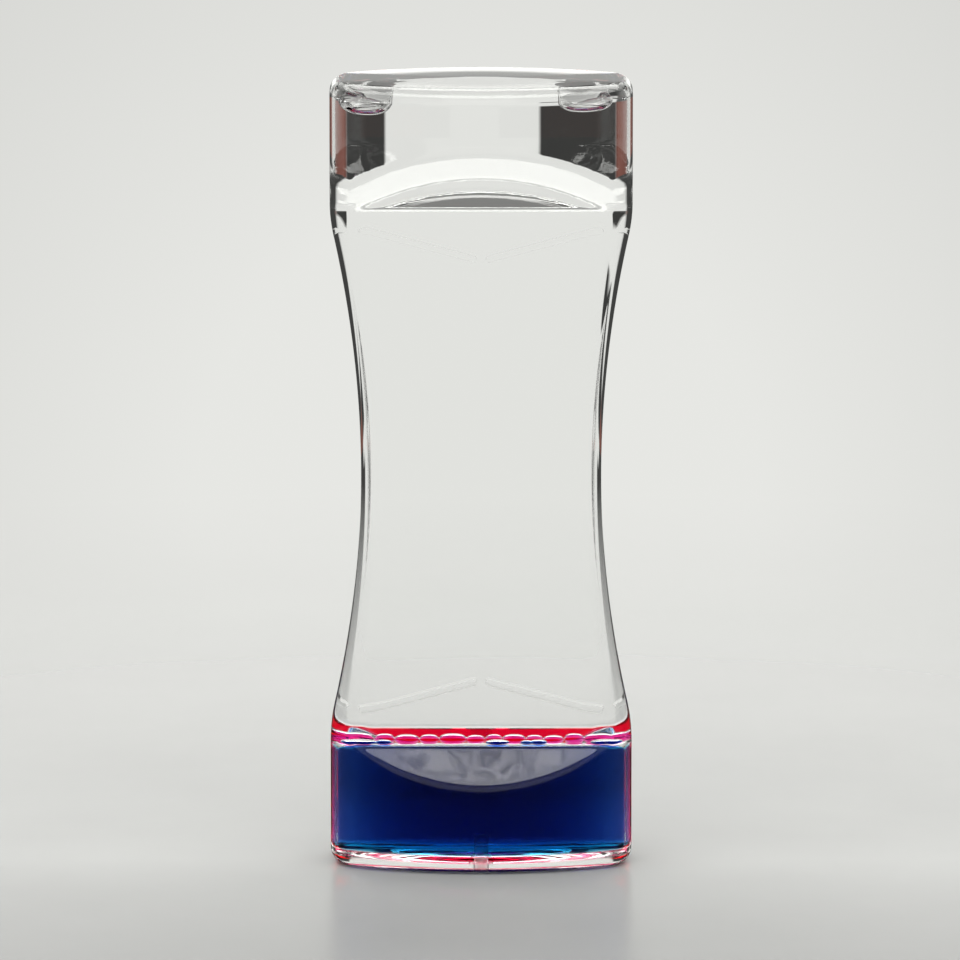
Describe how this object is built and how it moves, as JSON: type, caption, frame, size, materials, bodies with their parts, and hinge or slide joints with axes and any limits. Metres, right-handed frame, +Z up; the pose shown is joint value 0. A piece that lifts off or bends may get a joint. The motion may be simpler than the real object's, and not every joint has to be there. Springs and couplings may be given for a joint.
{
  "type": "liquid motion timer",
  "caption": "Hourglass-shaped clear plastic timer: two oil-filled compartments back to back, with blue and red liquid that drips through funnel bars when it is turned over.",
  "frame": {"origin": "centre of the base, on the surface it stands on", "axes": "+Z up along the height, +X across the width, -Y towards the blue compartment, which is the front"},
  "size_m": [0.052, 0.027, 0.137],
  "materials": {
    "clear_casing": "clear polished moulding",
    "clear_sheet": "clear polished sheet",
    "plug_plastic": "translucent",
    "clear_oil": "clear liquid",
    "blue_dye": "dyed liquid",
    "red_dye": "dyed liquid",
    "pink_dye": "dyed liquid",
    "air": "gas"
  },
  "bodies": {
    "root": {"front_shell": "clear_casing", "rear_shell": "clear_casing", "divider_plate": "clear_sheet", "front_fill_plug": "plug_plastic", "rear_fill_plug": "plug_plastic", "front_oil": "clear_oil", "rear_oil": "clear_oil", "blue_liquid": "blue_dye", "red_liquid": "red_dye", "blue_drops": "blue_dye", "pink_drops": "pink_dye", "stray_drops": "pink_dye", "trapped_air": "air"}
  },
  "joints": []
}
